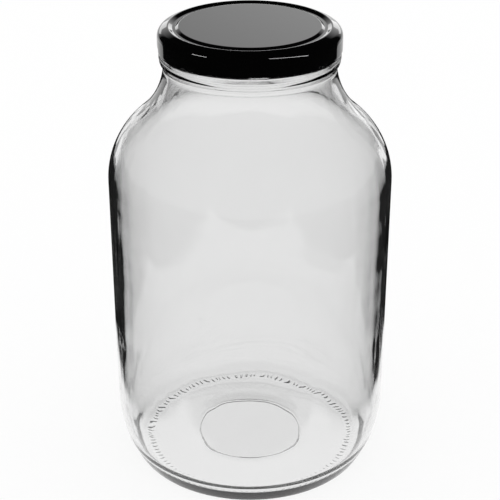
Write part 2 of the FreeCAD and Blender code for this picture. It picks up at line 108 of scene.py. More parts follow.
def latheMesh(name, rows, angles, fineAngles=None, fine=()):  # turned round Z; rows in fine get fineAngles
    points, faces, rings = [], [], []
    share = len(fineAngles) // len(angles) if fineAngles is not None else 1
    for index, (radius, height) in enumerate(rows):
        if radius < 1e-6:
            rings.append([len(points)])
            points.append((0, 0, height))
            continue
        turns = fineAngles if index in fine else angles
        rings.append(list(range(len(points), len(points) + len(turns))))
        points += [(radius * math.cos(t), radius * math.sin(t), height) for t in turns]
    for low, high in zip(rings, rings[1:]):
        if len(low) == len(high):
            count = len(low)
            faces += [(low[i], low[(i + 1) % count], high[(i + 1) % count], high[i]) for i in range(count)]
        elif len(low) == 1:
            faces += [(low[0], high[(i + 1) % len(high)], high[i]) for i in range(len(high))]
        elif len(high) == 1:
            faces += [(low[i], low[(i + 1) % len(low)], high[0]) for i in range(len(low))]
        elif len(low) < len(high):  # a coarse edge meets several fine ones
            for i in range(len(low)):
                arc = [high[(i * share + k) % len(high)] for k in range(share + 1)]
                middle = share // 2
                following = low[(i + 1) % len(low)]
                faces += [(low[i], arc[k + 1], arc[k]) for k in range(middle)]
                faces.append((low[i], following, arc[middle]))
                faces += [(following, arc[k + 1], arc[k]) for k in range(middle, share)]
        else:
            for i in range(len(high)):
                arc = [low[(i * share + k) % len(low)] for k in range(share + 1)]
                middle = share // 2
                following = high[(i + 1) % len(high)]
                faces += [(high[i], arc[k], arc[k + 1]) for k in range(middle)]
                faces.append((high[i], arc[middle], following))
                faces += [(following, arc[k], arc[k + 1]) for k in range(middle, share)]
    mesh = bpy.data.meshes.new(name)
    mesh.from_pydata([tuple(c / 1000 for c in p) for p in points], [], faces)
    mesh.validate()
    mesh.shade_smooth()
    rowOf = np.concatenate([np.full(len(ring), i) for i, ring in enumerate(rings)])
    return mesh, rowOf


def setAttribute(mesh, name, values):
    layer = mesh.attributes.new(name, "FLOAT", "POINT")
    layer.data.foreach_set("value", np.asarray(values, np.float32))


def namedValue(tree, name):
    return addNode(tree, "GeometryNodeInputNamedAttribute", {"Name": name}, data_type="FLOAT").outputs["Attribute"]


def applyTree(mesh, name, tree, values):  # runs a geometry tree on a mesh and keeps the result as a plain mesh
    source = bpy.data.objects.new(name + "Source", mesh)
    bpy.context.scene.collection.objects.link(source)
    modifier = source.modifiers.new(name, "NODES")
    modifier.node_group = tree
    sockets = {item.name: item.identifier for item in tree.interface.items_tree if item.in_out == "INPUT"}
    for label, value in values.items():
        modifier[sockets[label]] = value
    bpy.context.view_layer.update()
    seen = source.evaluated_get(bpy.context.evaluated_depsgraph_get())
    result = bpy.data.meshes.new_from_object(seen)
    source.modifiers.clear()
    bpy.data.objects.remove(source)
    result.name = name
    piece = bpy.data.objects.new(name, result)
    bpy.context.scene.collection.objects.link(piece)
    result.shade_smooth()
    return piece


# soda-lime glass, blown into a mould: clear, with a faint grey where it is looked through edgewise

glass = {"tint": "#fcfcfc", "ior": 1.52, "depthTint": "#8c8e8d", "depthDensity": 16.0, "shadowTint": "#e9ebe9"}


def sodaLimeGlass():
    material, tree = newMaterial("soda-lime glass, blown")
    shader = addNode(tree, "ShaderNodeBsdfPrincipled", {
        "Base Color": linearColour(glass["tint"]), "Roughness": 0.0, "IOR": glass["ior"],
        "Transmission Weight": 1.0})
    clear = addNode(tree, "ShaderNodeBsdfTransparent", {  # light reaches what is behind the glass
        "Color": linearColour(glass["shadowTint"])})
    path = addNode(tree, "ShaderNodeLightPath")
    through = addNode(tree, "ShaderNodeMath", {0: path.outputs["Is Shadow Ray"], 1: path.outputs["Is Diffuse Ray"]},
                      operation="MAXIMUM")
    surface = addNode(tree, "ShaderNodeMixShader", {0: through, 1: shader, 2: clear})
    depth = addNode(tree, "ShaderNodeVolumeAbsorption", {
        "Color": linearColour(glass["depthTint"]), "Density": glass["depthDensity"]})
    addNode(tree, "ShaderNodeOutputMaterial", {"Surface": surface, "Volume": depth})
    return material


jar = {
    "rimHeight": 269.1, "bodyRadius": 82.0, "neckRadius": 48.4, "glassWall": 4.2,
    "heelInset": 13.5, "heelCornerRadius": 5.1, "heelRadius": 70.6, "bearingWidth": 8.0,
    "puntHeight": 3.8, "plateRadius": 31.4, "plateStep": 0.5,
    "seamDepth": 0.35, "seamWidth": 0.8,          # the thin raised line round the plate
    "floorHeight": 7.2, "floorRise": 2.0, "floorCornerRadius": 14.0,
    "shoulderRadius": 47.7, "neckFlareRadius": 45.1, "neckDrop": 17.1,
    "beadDepth": 2.45, "beadFace": 3.6, "beadDrop": 12.3, "beadUndersideRadius": 6.0, "beadRootRadius": 6.0,
    "partingDepth": 1.9, "partingHeight": 1.8,    # where the neck ring of the mould met the body of it
    "finishInset": 1.0, "rimOuterRadius": 0.8, "rimInnerRadius": 0.9,
    "threadRadius": 1.3, "threadDrop": 8.9, "threadArc": 31.0, "threads": 8, "firstThread": 5.2,
    "bars": 112, "barInside": 60.7, "barOutside": 65.9, "barHeight": 0.4,   # stipple bars that the jar stands on
    "barEnd": 1.8, "barShift": 2.6, "barShiftScale": 230.0,     # run-out of a bar, and how far bars stray
    "wallUnevenness": 0.9, "wallExtra": 0.7, "unevenSize": 110.0, "skinUnevenness": 0.1,
    "drawnLines": 0.3, "drawnScale": (160.0, 160.0, 14.0), "seed": 4,
}


def jarOutline():
    v = jar
    heelCorner = (v["bodyRadius"] - v["heelInset"], v["heelCornerRadius"])
    heelX = v["bodyRadius"] - v["heelRadius"]
    reach = v["heelRadius"] - v["heelCornerRadius"]
    heel = (heelX, heelCorner[1] + math.sqrt(reach ** 2 - (heelCorner[0] - heelX) ** 2))
    flare = (v["neckRadius"] + v["neckFlareRadius"], v["rimHeight"] - v["neckDrop"])
    shoulderX = v["bodyRadius"] - v["shoulderRadius"]
    reach = v["shoulderRadius"] + v["neckFlareRadius"]
    shoulder = (shoulderX, flare[1] - math.sqrt(reach ** 2 - (flare[0] - shoulderX) ** 2))
    beadX = v["neckRadius"] + v["beadDepth"]
    beadTop = v["rimHeight"] - v["beadDrop"]
    bead = (beadX - v["beadUndersideRadius"], beadTop - v["beadFace"])
    outer, inner = v["beadUndersideRadius"] + v["beadRootRadius"], v["neckFlareRadius"] - v["beadRootRadius"]
    span = math.dist(bead, flare)
    along = (outer ** 2 - inner ** 2 + span ** 2) / (2 * span)
    off = -math.sqrt(outer ** 2 - along ** 2)
    turn = turnTo(bead, flare)
    root = pointAt(pointAt(bead, along, turn), off, turn + math.pi / 2)
    deep, tall = v["partingDepth"], v["partingHeight"]
    lipTurn = -math.asin(tall / v["beadUndersideRadius"])
    lip = pointAt(bead, v["beadUndersideRadius"], lipTurn)
    finishX = v["neckRadius"] - v["finishInset"]
    ringIn = heelCorner[0] - v["bearingWidth"]
    plateFoot = v["puntHeight"] - v["plateStep"]
    heelTurn, shoulderTurn = turnTo(heel, heelCorner), turnTo(shoulder, flare)
    flareTurn = turnTo(flare, root) + 2 * math.pi
    rimZ, wall = v["rimHeight"], v["glassWall"]
    boreX, innerX = v["neckRadius"] - wall, v["bodyRadius"] - wall
    threadZ = rimZ - v["threadDrop"]
    cornerZ = v["floorHeight"] + v["floorCornerRadius"]
    reach = v["heelRadius"] - wall - v["floorCornerRadius"]
    corner = (heel[0] + math.sqrt(reach ** 2 - (cornerZ - heel[1]) ** 2), cornerZ)
    peak = (0.0, v["floorHeight"] + v["floorRise"])
    span = math.dist(corner, peak)
    floorTurn = turnTo(peak, corner) - math.asin(v["floorCornerRadius"] / span)
    floorEnd = pointAt(corner, v["floorCornerRadius"], floorTurn - math.pi / 2)

    def dishZ(radius):
        return plateFoot * (ringIn - radius) / (ringIn - v["plateRadius"]) if radius < ringIn else 0.0

    plate = (v["plateRadius"], v["puntHeight"])
    foot = (v["plateRadius"] + 0.15, plateFoot)
    seamX, seamZ = v["plateRadius"], plateFoot - v["seamDepth"]
    bars = [56.6, 58.4, 59.6, 60.2, 60.7, 61.2, 61.8, 62.6, 63.3, 64.0, 64.8, 65.4, 65.9, 66.2, 66.6]
    under = joinRows(
        lineRows((0, v["puntHeight"]), (29.0, v["puntHeight"]), 9), [(30.4, v["puntHeight"])],
        cornerRows((29, v["puntHeight"]), plate, foot, 0.18, 3),
        [(seamX + 0.08, v["puntHeight"] - 0.1), (seamX + 0.12, seamZ + 0.05), (seamX + 0.2, seamZ),
         (seamX + 0.3, seamZ + 0.02), (seamX + 0.3 + 0.85 * v["seamWidth"], plateFoot - 0.06),
         (seamX + 0.3 + v["seamWidth"], plateFoot - 0.04)],
        [(33.4, dishZ(33.4))], [(r, dishZ(r)) for r in (35, 39, 43, 47, 51, 54)])
    stipple = [(r, dishZ(r)) for r in bars]
    outside = joinRows(
        [(67.4, 0.0), (heelCorner[0], 0.0)],
        arcRows(heelCorner, v["heelCornerRadius"], -math.pi / 2, heelTurn, 8),
        arcRows(heel, v["heelRadius"], heelTurn, 0, 16),
        lineRows((v["bodyRadius"], heel[1]), (v["bodyRadius"], shoulder[1]), 48),
        arcRows(shoulder, v["shoulderRadius"], 0, shoulderTurn, 18),
        arcRows(flare, v["neckFlareRadius"], shoulderTurn + math.pi, flareTurn, 16),
        arcRows(root, v["beadRootRadius"], flareTurn, turnTo(root, bead), 4),
        arcRows(bead, v["beadUndersideRadius"], turnTo(bead, root), lipTurn, 6),
        [(lip[0] - 0.12, lip[1] + 0.03), (beadX - 0.75 * deep, lip[1] + 0.2 * tall),
         (beadX - deep, lip[1] + 0.4 * tall), (beadX - deep, lip[1] + 0.6 * tall),
         (beadX - 0.75 * deep, lip[1] + 0.8 * tall), (beadX - 0.12, bead[1] - 0.03), (beadX, bead[1] + 0.1)],
        lineRows((beadX, bead[1] + 0.1), (beadX, beadTop - 0.7), 3),
        cornerRows((beadX, bead[1]), (beadX, beadTop), (finishX, beadTop), 0.6, 5),
        cornerRows((beadX, beadTop), (finishX, beadTop), (finishX, rimZ), 0.5, 4),
        [(finishX, beadTop + 0.8), (finishX, threadZ - v["threadRadius"] - 0.15)],
        [(finishX, threadZ + v["threadRadius"] * math.sin(a)) for a in np.linspace(-math.pi / 2, math.pi / 2, 9)],
        [(finishX, threadZ + v["threadRadius"] + 0.15), (finishX, rimZ - 4), (finishX, rimZ - 1.6)],
        arcRows((finishX - v["rimOuterRadius"], rimZ - v["rimOuterRadius"]), v["rimOuterRadius"], 0, math.pi / 2, 5))
    inside = joinRows(
        arcRows((boreX + v["rimInnerRadius"], rimZ - v["rimInnerRadius"]), v["rimInnerRadius"],
                math.pi / 2, math.pi, 5),
        lineRows((boreX, rimZ - 1.6), (boreX, flare[1]), 7),
        arcRows(flare, v["neckFlareRadius"] + wall, math.pi, shoulderTurn + math.pi, 16),
        arcRows(shoulder, v["shoulderRadius"] - wall, shoulderTurn, 0, 18),
        lineRows((innerX, shoulder[1]), (innerX, heel[1]), 48),
        arcRows(heel, v["heelRadius"] - wall, 0, turnTo(heel, corner), 8),
        arcRows(corner, v["floorCornerRadius"], turnTo(heel, corner), floorTurn - math.pi / 2, 10),
        lineRows(floorEnd, peak, 16))
    return under, stipple, outside, inside


def unevenGlassTree():  # stipple bars under the base, and the small waves that blowing leaves in the wall
    tree = bpy.data.node_groups.new("unevenGlass", "GeometryNodeTree")
    face = tree.interface
    face.new_socket("Geometry", in_out="INPUT", socket_type="NodeSocketGeometry")
    for label in ("Bars", "Bar Inside", "Bar Outside", "Bar Height", "Wall Extra", "Wall Unevenness", "Uneven Size",
                  "Skin Unevenness", "Drawn Lines", "Seed"):
        face.new_socket(label, in_out="INPUT", socket_type="NodeSocketFloat")
    face.new_socket("Glass", in_out="INPUT", socket_type="NodeSocketMaterial")
    face.new_socket("Geometry", in_out="OUTPUT", socket_type="NodeSocketGeometry")
    entry = addNode(tree, "NodeGroupInput").outputs
    place = addNode(tree, "GeometryNodeInputPosition")
    spot = addNode(tree, "ShaderNodeSeparateXYZ", {0: place})
    flat = addNode(tree, "ShaderNodeCombineXYZ", {0: spot.outputs[0], 1: spot.outputs[1]})
    radius = addNode(tree, "ShaderNodeVectorMath", {0: flat}, operation="LENGTH").outputs["Value"]
    turn = addNode(tree, "ShaderNodeMath", {0: spot.outputs[1], 1: spot.outputs[0]}, operation="ARCTAN2")
    share = addNode(tree, "ShaderNodeMath", {0: turn, 1: 2 * math.pi}, operation="DIVIDE")
    bar = addNode(tree, "ShaderNodeMath", {0: share, 1: entry["Bars"]}, operation="MULTIPLY")
    bar = addNode(tree, "ShaderNodeMath", {0: bar, 1: 1000.0}, operation="ADD")
    barIndex = addNode(tree, "ShaderNodeMath", {0: bar, 1: 0.001}, operation="ADD")
    barIndex = addNode(tree, "ShaderNodeMath", {0: barIndex}, operation="FLOOR")
    barPhase = addNode(tree, "ShaderNodeMath", {0: bar, 1: 1.0}, operation="FLOORED_MODULO")
    off = addNode(tree, "ShaderNodeMath", {0: barPhase, 1: 0.5}, operation="SUBTRACT")
    off = addNode(tree, "ShaderNodeMath", {0: off}, operation="ABSOLUTE")
    ridge = addNode(tree, "ShaderNodeMapRange", {"Value": off, "From Min": 0.2, "From Max": 0.08})
    chance = addNode(tree, "ShaderNodeTexWhiteNoise", {"W": barIndex}, noise_dimensions="1D")
    split = addNode(tree, "ShaderNodeSeparateXYZ", {0: chance.outputs["Color"]})
    inEdge = addNode(tree, "ShaderNodeMapRange", {"Value": split.outputs[0], "To Min": -0.0002, "To Max": 0.0006})
    inEdge = addNode(tree, "ShaderNodeMath", {0: entry["Bar Inside"], 1: inEdge}, operation="ADD")
    outEdge = addNode(tree, "ShaderNodeMapRange", {"Value": split.outputs[1], "To Min": -0.0005, "To Max": 0.0002})
    outEdge = addNode(tree, "ShaderNodeMath", {0: entry["Bar Outside"], 1: outEdge}, operation="ADD")
    inEnd = addNode(tree, "ShaderNodeMath", {0: inEdge, 1: jar["barEnd"] / 1000}, operation="ADD")
    outEnd = addNode(tree, "ShaderNodeMath", {0: outEdge, 1: -jar["barEnd"] / 1000}, operation="ADD")
    inRamp = addNode(tree, "ShaderNodeMapRange", {"Value": radius, "From Min": inEdge, "From Max": inEnd},
                     interpolation_type="SMOOTHSTEP")
    outRamp = addNode(tree, "ShaderNodeMapRange", {"Value": radius, "From Min": outEdge, "From Max": outEnd},
                      interpolation_type="SMOOTHSTEP")
    ridge = addNode(tree, "ShaderNodeMath", {0: ridge, 1: inRamp}, operation="MULTIPLY")
    ridge = addNode(tree, "ShaderNodeMath", {0: ridge, 1: outRamp}, operation="MULTIPLY")
    full = addNode(tree, "ShaderNodeMapRange", {"Value": split.outputs[2], "To Min": 0.7, "To Max": 1.0})
    ridge = addNode(tree, "ShaderNodeMath", {0: ridge, 1: full}, operation="MULTIPLY")
    valley = addNode(tree, "ShaderNodeMath", {0: 1.0, 1: ridge}, operation="SUBTRACT")
    stipple = namedValue(tree, "stipple")
    lift = addNode(tree, "ShaderNodeMath", {0: valley, 1: entry["Bar Height"]}, operation="MULTIPLY")
    lift = addNode(tree, "ShaderNodeMath", {0: lift, 1: stipple}, operation="MULTIPLY")
    lift = addNode(tree, "ShaderNodeCombineXYZ", {2: lift})

    seedStep = addNode(tree, "ShaderNodeMath", {0: entry["Seed"], 1: 13.7}, operation="MULTIPLY")
    seedPlace = addNode(tree, "ShaderNodeCombineXYZ", {0: seedStep, 1: seedStep, 2: seedStep})
    warp = addNode(tree, "ShaderNodeTexNoise", {"Vector": place, "Scale": jar["barShiftScale"], "Detail": 1.0})
    warp = addNode(tree, "ShaderNodeVectorMath", {0: warp.outputs["Color"], 1: (0.5, 0.5, 0.5)}, operation="SUBTRACT")
    shift = jar["barShift"] / 1000
    warp = addNode(tree, "ShaderNodeVectorMath", {0: warp, 1: (shift, shift, 0.0)}, operation="MULTIPLY")
    middle = addNode(tree, "ShaderNodeMath", {0: entry["Bar Inside"], 1: entry["Bar Outside"]}, operation="ADD")
    middle = addNode(tree, "ShaderNodeMath", {0: middle, 1: 0.5}, operation="MULTIPLY")
    middle = addNode(tree, "ShaderNodeMath", {0: radius, 1: middle}, operation="SUBTRACT")
    middle = addNode(tree, "ShaderNodeMath", {0: middle}, operation="ABSOLUTE")
    middle = addNode(tree, "ShaderNodeMapRange", {"Value": middle, "From Min": 0.0045, "From Max": 0.002})
    loose = addNode(tree, "ShaderNodeMath", {0: middle, 1: stipple}, operation="MULTIPLY")
    warp = addNode(tree, "ShaderNodeVectorMath", {0: warp, "Scale": loose}, operation="SCALE")

    reach = addNode(tree, "ShaderNodeMath", {0: 1.0, 1: entry["Uneven Size"]}, operation="DIVIDE")
    scaled = addNode(tree, "ShaderNodeVectorMath", {0: place, "Scale": reach}, operation="SCALE")
    shifted = addNode(tree, "ShaderNodeVectorMath", {0: scaled, 1: seedPlace}, operation="ADD")
    level = addNode(tree, "ShaderNodeVectorMath", {0: scaled, 1: (0.9, 0.9, 4.0)}, operation="MULTIPLY")
    level = addNode(tree, "ShaderNodeVectorMath", {0: level, 1: seedPlace}, operation="ADD")
    broad = addNode(tree, "ShaderNodeTexNoise", {"Vector": shifted, "Scale": 1.0, "Detail": 1.0, "Roughness": 0.4})
    broad = addNode(tree, "ShaderNodeMath", {0: broad, 1: -0.5}, operation="ADD")
    small = addNode(tree, "ShaderNodeTexNoise", {"Vector": level, "Scale": 1.0, "Detail": 1.0, "Roughness": 0.5})
    small = addNode(tree, "ShaderNodeMath", {0: small, 1: -0.5}, operation="ADD")
    small = addNode(tree, "ShaderNodeMath", {0: small, 1: 0.3}, operation="MULTIPLY")
    wave = addNode(tree, "ShaderNodeMath", {0: broad, 1: small}, operation="ADD")
    wave = addNode(tree, "ShaderNodeMath", {0: wave, 1: entry["Wall Unevenness"]}, operation="MULTIPLY")
    wave = addNode(tree, "ShaderNodeMath", {0: wave, 1: 3.0}, operation="MULTIPLY")
    drawn = addNode(tree, "ShaderNodeVectorMath", {0: place, 1: jar["drawnScale"]}, operation="MULTIPLY")
    drawn = addNode(tree, "ShaderNodeTexNoise", {"Vector": drawn, "Scale": 1.0, "Detail": 2.0})
    drawn = addNode(tree, "ShaderNodeMath", {0: drawn, 1: -0.5}, operation="ADD")
    drawn = addNode(tree, "ShaderNodeMath", {0: drawn, 1: entry["Drawn Lines"]}, operation="MULTIPLY")
    wave = addNode(tree, "ShaderNodeMath", {0: wave, 1: entry["Wall Extra"]}, operation="ADD")
    wave = addNode(tree, "ShaderNodeMath", {0: wave, 1: drawn}, operation="ADD")
    inner = namedValue(tree, "inner")
    wave = addNode(tree, "ShaderNodeMath", {0: wave, 1: inner}, operation="MULTIPLY")
    outer = namedValue(tree, "outer")
    skin = addNode(tree, "ShaderNodeTexNoise", {"Vector": shifted, "Scale": 1.7, "Detail": 1.0})
    skin = addNode(tree, "ShaderNodeMath", {0: skin, 1: outer}, operation="MULTIPLY")
    skin = addNode(tree, "ShaderNodeMath", {0: skin, 1: entry["Skin Unevenness"]}, operation="MULTIPLY")
    depth = addNode(tree, "ShaderNodeMath", {0: wave, 1: skin}, operation="SUBTRACT")
    normal = addNode(tree, "GeometryNodeInputNormal")
    push = addNode(tree, "ShaderNodeVectorMath", {0: normal, "Scale": depth}, operation="SCALE")
    move = addNode(tree, "ShaderNodeVectorMath", {0: push, 1: lift}, operation="ADD")
    move = addNode(tree, "ShaderNodeVectorMath", {0: move, 1: warp}, operation="ADD")
    shaped = addNode(tree, "GeometryNodeSetPosition", {"Geometry": entry["Geometry"], "Offset": move})
    whole = addNode(tree, "GeometryNodeRealizeInstances", {0: shaped})
    coated = addNode(tree, "GeometryNodeSetMaterial", {"Geometry": whole, "Material": entry["Glass"]})
    addNode(tree, "NodeGroupOutput", {0: coated})
    return tree


def buildJar():
    under, stipple, outside, inside = jarOutline()
    rows = joinRows(under, stipple, outside, inside)
    half = math.pi / jar["bars"]
    angles = [i * half for i in range(2 * jar["bars"])]
    steps = (0.0, 0.3, 0.36, 0.42, 0.5, 0.58, 0.64, 0.7)
    fineAngles = [(bar + step) * 2 * half for bar in range(jar["bars"]) for step in steps]
    first = len(under)
    fine = set(range(first, first + len(stipple)))
    mesh, rowOf = latheMesh("jarGlass", rows, angles, fineAngles, fine)
    radii = np.array([r for r, z in rows])
    heights = np.array([z for r, z in rows])
    insideFrom = first + len(stipple) + len(outside) - 1
    index = np.arange(len(rows))
    inner = np.where(index > insideFrom, 1.0, 0.0)
    inner *= np.clip((jar["rimHeight"] - 20 - heights) / 25, 0, 1)  # the bore of the finish is pressed, so it is even
    inner *= np.clip((heights - 14) / 30, 0, 1)  # and so is the floor
    outer = np.where((index >= first + len(stipple) + 3) & (index <= insideFrom), 1.0, 0.0)
    outer *= np.clip((heights - 1) / 20, 0, 1) * np.clip((jar["rimHeight"] - 24 - heights) / 20, 0, 1)
    band = np.where(index < insideFrom, 1.0, 0.0) * np.clip((2.6 - heights) / 2.6, 0, 1) * (radii > 45)
    setAttribute(mesh, "inner", inner[rowOf])
    setAttribute(mesh, "outer", outer[rowOf])
    setAttribute(mesh, "stipple", band[rowOf])
    co = np.zeros(len(mesh.vertices) * 3)
    mesh.vertices.foreach_get("co", co)
    co = co.reshape(-1, 3)
    threadZ = (jar["rimHeight"] - jar["threadDrop"]) / 1000
    finishX = (jar["neckRadius"] - jar["finishInset"]) / 1000
    turn = np.degrees(np.arctan2(co[:, 1], co[:, 0])) - jar["firstThread"]
    step = 360 / jar["threads"]
    away = np.abs((turn + step / 2) % step - step / 2)
    window = np.clip((jar["threadArc"] / 2 - away) / 2.5, 0, 1)
    rise = np.sqrt(np.clip((jar["threadRadius"] / 1000) ** 2 - (co[:, 2] - threadZ) ** 2, 0, None)) * window
    radius = np.hypot(co[:, 0], co[:, 1])
    onFinish = np.abs(radius - finishX) < 2e-5
    grow = np.where(onFinish, (radius + rise) / np.maximum(radius, 1e-6), 1.0)
    co[:, 0] *= grow
    co[:, 1] *= grow
    mesh.vertices.foreach_set("co", co.ravel())
    piece = applyTree(mesh, "jarGlass", unevenGlassTree(), {
        "Bars": float(jar["bars"]), "Bar Inside": jar["barInside"] / 1000, "Bar Outside": jar["barOutside"] / 1000,
        "Bar Height": jar["barHeight"] / 1000, "Wall Extra": jar["wallExtra"] / 1000,
        "Wall Unevenness": jar["wallUnevenness"] / 1000, "Uneven Size": jar["unevenSize"] / 1000,
        "Skin Unevenness": jar["skinUnevenness"] / 1000, "Drawn Lines": jar["drawnLines"] / 1000,
        "Seed": float(jar["seed"]), "Glass": sodaLimeGlass()})
    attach(piece, "root")
    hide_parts("glass_jar")
    print("jar:", len(piece.data.vertices), "points")
    return piece


# black lacquer baked on tinplate: near black, with a sharp wet gloss

lacquer = {"colour": "#020202", "roughness": 0.04, "ior": 1.5}


def lacqueredTinplate():
    material, tree = newMaterial("black lacquered tinplate")
    shader = addNode(tree, "ShaderNodeBsdfPrincipled", {
        "Base Color": linearColour(lacquer["colour"]), "Roughness": lacquer["roughness"], "IOR": lacquer["ior"]})
    addNode(tree, "ShaderNodeOutputMaterial", {"Surface": shader})
    return material


lid = {
    "rimHeight": 269.1, "outside": 51.55, "sheet": 0.3,
    "panelRadius": 39.5, "panelRise": 1.65, "grooveDepth": 1.15, "grooveSlope": 1.8, "grooveFloor": 1.6,
    "crestRise": 1.9, "crestRadius": 1.3, "crestOffset": 6.1,
    "edgeRadius": 5.0, "edgeDrop": 3.9, "lidDrop": 11.95, "curlRadius": 1.2, "curlHeight": 2.45,
    "lugs": 8, "firstLug": 5.2, "lugArc": 14.0, "lugReach": 1.25, "lugPress": 0.45, "lugLift": 0.42,
    "segments": 320,
}


def lidOutline():
    v = lid
    rimZ, out = v["rimHeight"], v["outside"]
    panelZ = rimZ + v["panelRise"]
    grooveZ = panelZ - v["grooveDepth"]
    grooveX = v["panelRadius"] + v["grooveSlope"]
    riseX = grooveX + v["grooveFloor"]
    crest = (out - v["crestOffset"], rimZ + v["crestRise"] - v["crestRadius"])
    edge = (out - v["edgeRadius"], rimZ - v["edgeDrop"])
    span = math.dist(crest, edge)
    slopeTurn = turnTo(crest, edge) + math.acos((v["crestRadius"] - v["edgeRadius"]) / span)
    riseFoot = (riseX, grooveZ)
    span = math.dist(riseFoot, crest)
    riseTurn = turnTo(riseFoot, crest) + math.asin(v["crestRadius"] / span) + math.pi / 2
    curl = (out - v["curlRadius"], rimZ - v["lidDrop"] + v["curlRadius"])
    curlX = curl[0] - v["curlRadius"]
    curlTop = rimZ - v["lidDrop"] + v["curlHeight"]
    innerX = out - v["sheet"]
    innerEdge = v["edgeRadius"] - v["sheet"]
    sealTurn = math.asin(v["edgeDrop"] / innerEdge)
    sealOut = pointAt(edge, innerEdge, sealTurn)
    sealIn = (grooveX - 2 * v["sheet"], rimZ)
    ceiling = (v["panelRadius"] - v["sheet"], panelZ - v["sheet"])
    riseTop = pointAt(crest, v["crestRadius"], riseTurn)
    panelEdge, grooveIn = (v["panelRadius"], panelZ), (grooveX, grooveZ)
    skirtTop, curlOut = (out, edge[1]), (out, curl[1])
    below = joinRows(  # from the middle of the underside out to the curl
        lineRows((0, ceiling[1]), (36, ceiling[1]), 6),
        cornerRows((30, ceiling[1]), ceiling, sealIn, 0.5, 3),
        cornerRows(ceiling, sealIn, sealOut, 0.3, 2),
        lineRows((sealIn[0] + 1, rimZ), (sealOut[0] - 0.5, rimZ), 4),
        arcRows(edge, innerEdge, sealTurn, 0, 6),
        lineRows((innerX, edge[1]), (innerX, curlTop + 0.6), 5),
        [(innerX, curlTop + 0.2), (innerX - 0.3, curlTop), (curlX + 0.8, curlTop), (curlX + 0.2, curlTop),
         (curlX, curlTop - 0.2)],
        lineRows((curlX, curlTop - 0.5), (curlX, curl[1]), 3))
    turned = arcRows(curl, v["curlRadius"], math.pi, 2 * math.pi, 12)
    above = joinRows(
        lineRows(curlOut, (out, curl[1] + 1.6), 4),
        lineRows((out, curl[1] + 1.6), skirtTop, 5),
        arcRows(edge, v["edgeRadius"], 0, slopeTurn, 16),
        arcRows(crest, v["crestRadius"], slopeTurn, riseTurn, 14),
        cornerRows(riseTop, riseFoot, grooveIn, 0.55, 6),
        cornerRows(riseFoot, grooveIn, panelEdge, 0.7, 6),
        cornerRows(grooveIn, panelEdge, (0, panelZ), 0.8, 8),
        [(38.2, panelZ), (36.5, panelZ)],
        lineRows((33, panelZ), (0, panelZ), 9))
    return below, turned, above


def pressedLugTree():  # lugs pressed in from the curl, with a shallow dent above each
    tree = bpy.data.node_groups.new("pressedLugs", "GeometryNodeTree")
    face = tree.interface
    face.new_socket("Geometry", in_out="INPUT", socket_type="NodeSocketGeometry")
    for label in ("Lugs", "First Lug", "Lug Arc", "Press", "Lift", "Reach"):
        face.new_socket(label, in_out="INPUT", socket_type="NodeSocketFloat")
    face.new_socket("Lacquer", in_out="INPUT", socket_type="NodeSocketMaterial")
    face.new_socket("Geometry", in_out="OUTPUT", socket_type="NodeSocketGeometry")
    entry = addNode(tree, "NodeGroupInput").outputs
    place = addNode(tree, "GeometryNodeInputPosition")
    spot = addNode(tree, "ShaderNodeSeparateXYZ", {0: place})
    turn = addNode(tree, "ShaderNodeMath", {0: spot.outputs[1], 1: spot.outputs[0]}, operation="ARCTAN2")
    turn = addNode(tree, "ShaderNodeMath", {0: turn, 1: entry["First Lug"]}, operation="SUBTRACT")
    step = addNode(tree, "ShaderNodeMath", {0: 2 * math.pi, 1: entry["Lugs"]}, operation="DIVIDE")
    halfStep = addNode(tree, "ShaderNodeMath", {0: step, 1: 0.5}, operation="MULTIPLY")
    away = addNode(tree, "ShaderNodeMath", {0: turn, 1: halfStep}, operation="ADD")
    away = addNode(tree, "ShaderNodeMath", {0: away, 1: step}, operation="FLOORED_MODULO")
    away = addNode(tree, "ShaderNodeMath", {0: away, 1: halfStep}, operation="SUBTRACT")
    away = addNode(tree, "ShaderNodeMath", {0: away}, operation="ABSOLUTE")
    wide = addNode(tree, "ShaderNodeMath", {0: entry["Lug Arc"], 1: 0.5}, operation="MULTIPLY")
    ends = addNode(tree, "ShaderNodeMath", {0: wide, 1: 0.045}, operation="SUBTRACT")
    window = addNode(tree, "ShaderNodeMapRange", {"Value": away, "From Min": wide, "From Max": ends},
                     interpolation_type="SMOOTHSTEP")
    curl, lug = namedValue(tree, "curl"), namedValue(tree, "lug")
    press = addNode(tree, "ShaderNodeMath", {0: curl, 1: entry["Press"]}, operation="MULTIPLY")
    reach = addNode(tree, "ShaderNodeMath", {0: lug, 1: entry["Reach"]}, operation="MULTIPLY")
    inward = addNode(tree, "ShaderNodeMath", {0: press, 1: reach}, operation="ADD")
    inward = addNode(tree, "ShaderNodeMath", {0: inward, 1: window}, operation="MULTIPLY")
    inward = addNode(tree, "ShaderNodeMath", {0: inward, 1: -1.0}, operation="MULTIPLY")
    flat = addNode(tree, "ShaderNodeCombineXYZ", {0: spot.outputs[0], 1: spot.outputs[1]})
    outward = addNode(tree, "ShaderNodeVectorMath", {0: flat}, operation="NORMALIZE")
    push = addNode(tree, "ShaderNodeVectorMath", {0: outward, "Scale": inward}, operation="SCALE")
    lift = addNode(tree, "ShaderNodeMath", {0: curl, 1: entry["Lift"]}, operation="MULTIPLY")
    lift = addNode(tree, "ShaderNodeMath", {0: lift, 1: window}, operation="MULTIPLY")
    lift = addNode(tree, "ShaderNodeCombineXYZ", {2: lift})
    move = addNode(tree, "ShaderNodeVectorMath", {0: push, 1: lift}, operation="ADD")
    shaped = addNode(tree, "GeometryNodeSetPosition", {"Geometry": entry["Geometry"], "Offset": move})
    whole = addNode(tree, "GeometryNodeRealizeInstances", {0: shaped})
    coated = addNode(tree, "GeometryNodeSetMaterial", {"Geometry": whole, "Material": entry["Lacquer"]})
    addNode(tree, "NodeGroupOutput", {0: coated})
    return tree


